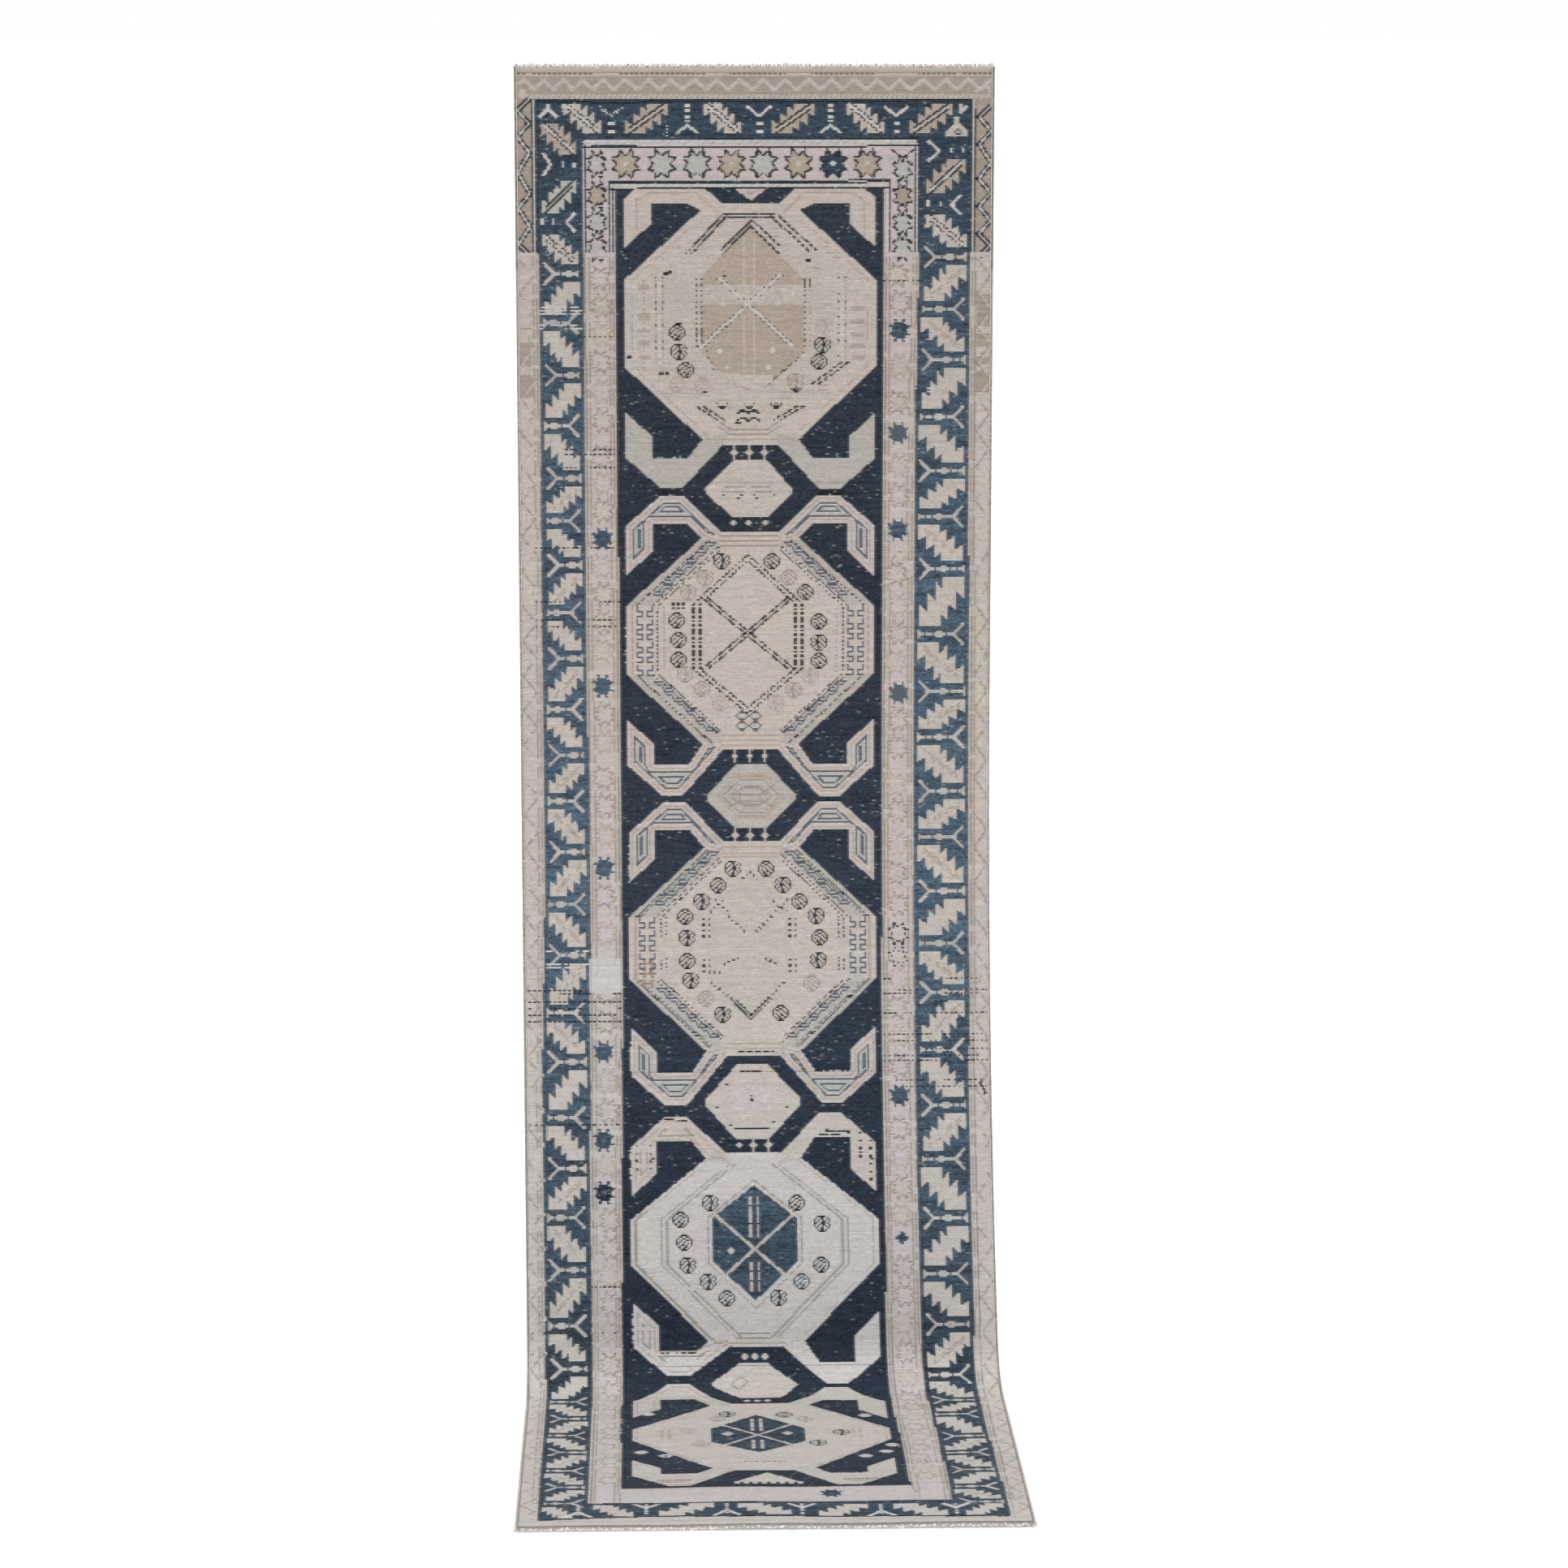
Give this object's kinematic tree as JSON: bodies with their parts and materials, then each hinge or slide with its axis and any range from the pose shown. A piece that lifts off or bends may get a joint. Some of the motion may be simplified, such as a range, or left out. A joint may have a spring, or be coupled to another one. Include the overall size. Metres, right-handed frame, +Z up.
{
  "type": "runner rug",
  "caption": "Long hand-knotted wool runner with octagonal medallions inside three patterned borders, hung by its upper edge with the lower end swept forward onto the floor.",
  "frame": {"origin": "middle of the hanging edge, on the back face; the part is held up there", "axes": "+Z up the hanging stretch; +X across the rug to the right as seen from the pile side; +Y towards the wall, so the pile faces -Y and the lower end runs out along -Y on the floor"},
  "size_m": [0.933, 0.8402, 2.5733],
  "materials": {
    "web_cotton": "plain cotton web, matte, seen between the knots and at the ends",
    "navy_wool": "worn knotted wool, dark navy with pale flecks, matte",
    "rose_wool": "worn knotted wool, faded rose and bone, matte",
    "blue_wool": "worn knotted wool, streaked indigo blue with bone leaves, matte",
    "sand_wool": "worn knotted wool, faded sand and bone, matte",
    "selvedge_wool": "overcast wool edge, matte",
    "warp_cotton": "undyed cotton warps, matte"
  },
  "bodies": {
    "root": {"foundation_weave": "web_cotton", "flatweave_end_top": "web_cotton", "flatweave_end_bottom": "web_cotton", "field_pile": "navy_wool", "star_border_top": "rose_wool", "star_border_left": "rose_wool", "star_border_right": "rose_wool", "star_border_bottom": "rose_wool", "leaf_border_top": "blue_wool", "leaf_border_left": "blue_wool", "leaf_border_right": "blue_wool", "leaf_border_bottom": "blue_wool", "guard_border_top": "sand_wool", "guard_border_left": "sand_wool", "guard_border_right": "sand_wool", "guard_border_bottom": "sand_wool", "selvedge_overcast_left": "selvedge_wool", "selvedge_overcast_right": "selvedge_wool", "selvedge_core_left": "warp_cotton", "selvedge_core_right": "warp_cotton", "twined_edge_top": "warp_cotton", "twined_edge_bottom": "warp_cotton", "fringe_top": "warp_cotton", "fringe_bottom": "warp_cotton"}
  },
  "joints": []
}
